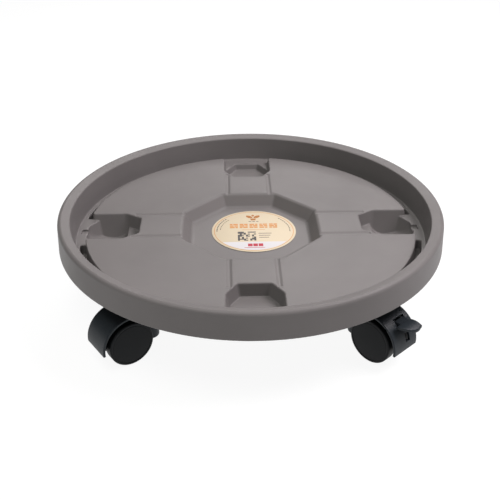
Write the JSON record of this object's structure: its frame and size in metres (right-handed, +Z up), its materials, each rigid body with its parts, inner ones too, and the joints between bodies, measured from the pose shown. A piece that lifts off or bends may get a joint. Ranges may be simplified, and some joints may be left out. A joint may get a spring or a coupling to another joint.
{
  "type": "plant pot caddy",
  "caption": "Round dished tray for a plant pot, with a raised rim, four troughed pockets and a sunken middle, rolling on twin-wheel swivel casters with foot brakes.",
  "frame": {"origin": "on the floor, under the middle of the tray", "axes": "+Z up, -Y towards the front, +X to the right"},
  "size_m": [0.3518, 0.3518, 0.09],
  "materials": {
    "tray_plastic": "satin moulded polypropylene, warm grey",
    "label_paper": "printed paper sticker with a satin film",
    "caster_plastic": "satin moulded nylon, black",
    "wheel_plastic": "moulded nylon tread, black",
    "steel": "zinc-plated"
  },
  "bodies": {
    "tray": {"tray": "tray_plastic", "label": "label_paper", "stem_sleeve_front_left": "caster_plastic", "swivel_stem_front_left": "steel", "grip_ring_front_left": "steel", "stem_sleeve_front_right": "caster_plastic", "swivel_stem_front_right": "steel", "grip_ring_front_right": "steel", "stem_sleeve_rear_right": "caster_plastic", "swivel_stem_rear_right": "steel", "grip_ring_rear_right": "steel", "stem_sleeve_rear_left": "caster_plastic", "swivel_stem_rear_left": "steel", "grip_ring_rear_left": "steel"},
    "caster_front_left": {"caster_housing_front_left": "caster_plastic", "axle_front_left": "steel"},
    "wheel_a_front_left": {"wheel_a_front_left": "wheel_plastic"},
    "wheel_b_front_left": {"wheel_b_front_left": "wheel_plastic"},
    "caster_front_right": {"caster_housing_front_right": "caster_plastic", "axle_front_right": "steel", "pedal_pin_front_right": "steel"},
    "wheel_a_front_right": {"wheel_a_front_right": "wheel_plastic"},
    "wheel_b_front_right": {"wheel_b_front_right": "wheel_plastic"},
    "brake_front_right": {"brake_pedal_front_right": "caster_plastic"},
    "caster_rear_right": {"caster_housing_rear_right": "caster_plastic", "axle_rear_right": "steel"},
    "wheel_a_rear_right": {"wheel_a_rear_right": "wheel_plastic"},
    "wheel_b_rear_right": {"wheel_b_rear_right": "wheel_plastic"},
    "caster_rear_left": {"caster_housing_rear_left": "caster_plastic", "axle_rear_left": "steel", "pedal_pin_rear_left": "steel"},
    "wheel_a_rear_left": {"wheel_a_rear_left": "wheel_plastic"},
    "wheel_b_rear_left": {"wheel_b_rear_left": "wheel_plastic"},
    "brake_rear_left": {"brake_pedal_rear_left": "caster_plastic"}
  },
  "joints": [
    {"name": "swivel_front_left", "type": "hinge", "parent": "tray", "child": "caster_front_left", "pos_m": [-0.0905, -0.0905, 0.0467], "axis": [0, 0, 1], "continuous": true},
    {"name": "wheel_a_spin_front_left", "type": "hinge", "parent": "caster_front_left", "child": "wheel_a_front_left", "pos_m": [-0.11101, -0.10408, 0.0202], "axis": [0.5519, -0.8339, 0], "continuous": true},
    {"name": "wheel_b_spin_front_left", "type": "hinge", "parent": "caster_front_left", "child": "wheel_b_front_left", "pos_m": [-0.11101, -0.10408, 0.0202], "axis": [0.5519, -0.8339, 0], "continuous": true},
    {"name": "swivel_front_right", "type": "hinge", "parent": "tray", "child": "caster_front_right", "pos_m": [0.0905, -0.0905, 0.0467], "axis": [0, 0, 1], "continuous": true},
    {"name": "wheel_a_spin_front_right", "type": "hinge", "parent": "caster_front_right", "child": "wheel_a_front_right", "pos_m": [0.10715, -0.10861, 0.0202], "axis": [0.7361, 0.6769, 0], "continuous": true},
    {"name": "wheel_b_spin_front_right", "type": "hinge", "parent": "caster_front_right", "child": "wheel_b_front_right", "pos_m": [0.10715, -0.10861, 0.0202], "axis": [0.7361, 0.6769, 0], "continuous": true},
    {"name": "brake_front_right", "type": "hinge", "parent": "caster_front_right", "child": "brake_front_right", "pos_m": [0.11719, -0.11953, 0.03919], "axis": [0.7361, 0.6769, 0], "range_deg": [0, 13]},
    {"name": "swivel_rear_right", "type": "hinge", "parent": "tray", "child": "caster_rear_right", "pos_m": [0.0905, 0.0905, 0.0467], "axis": [0, 0, 1], "continuous": true},
    {"name": "wheel_a_spin_rear_right", "type": "hinge", "parent": "caster_rear_right", "child": "wheel_a_rear_right", "pos_m": [0.10205, 0.11222, 0.0202], "axis": [-0.8829, 0.4695, 0], "continuous": true},
    {"name": "wheel_b_spin_rear_right", "type": "hinge", "parent": "caster_rear_right", "child": "wheel_b_rear_right", "pos_m": [0.10205, 0.11222, 0.0202], "axis": [-0.8829, 0.4695, 0], "continuous": true},
    {"name": "swivel_rear_left", "type": "hinge", "parent": "tray", "child": "caster_rear_left", "pos_m": [-0.0905, 0.0905, 0.0467], "axis": [0, 0, 1], "continuous": true},
    {"name": "wheel_a_spin_rear_left", "type": "hinge", "parent": "caster_rear_left", "child": "wheel_a_rear_left", "pos_m": [-0.11202, 0.10243, 0.0202], "axis": [-0.4848, -0.8746, 0], "continuous": true},
    {"name": "wheel_b_spin_rear_left", "type": "hinge", "parent": "caster_rear_left", "child": "wheel_b_rear_left", "pos_m": [-0.11202, 0.10243, 0.0202], "axis": [-0.4848, -0.8746, 0], "continuous": true},
    {"name": "brake_rear_left", "type": "hinge", "parent": "caster_rear_left", "child": "brake_rear_left", "pos_m": [-0.12499, 0.10962, 0.03919], "axis": [-0.4848, -0.8746, 0], "range_deg": [0, 13]}
  ]
}
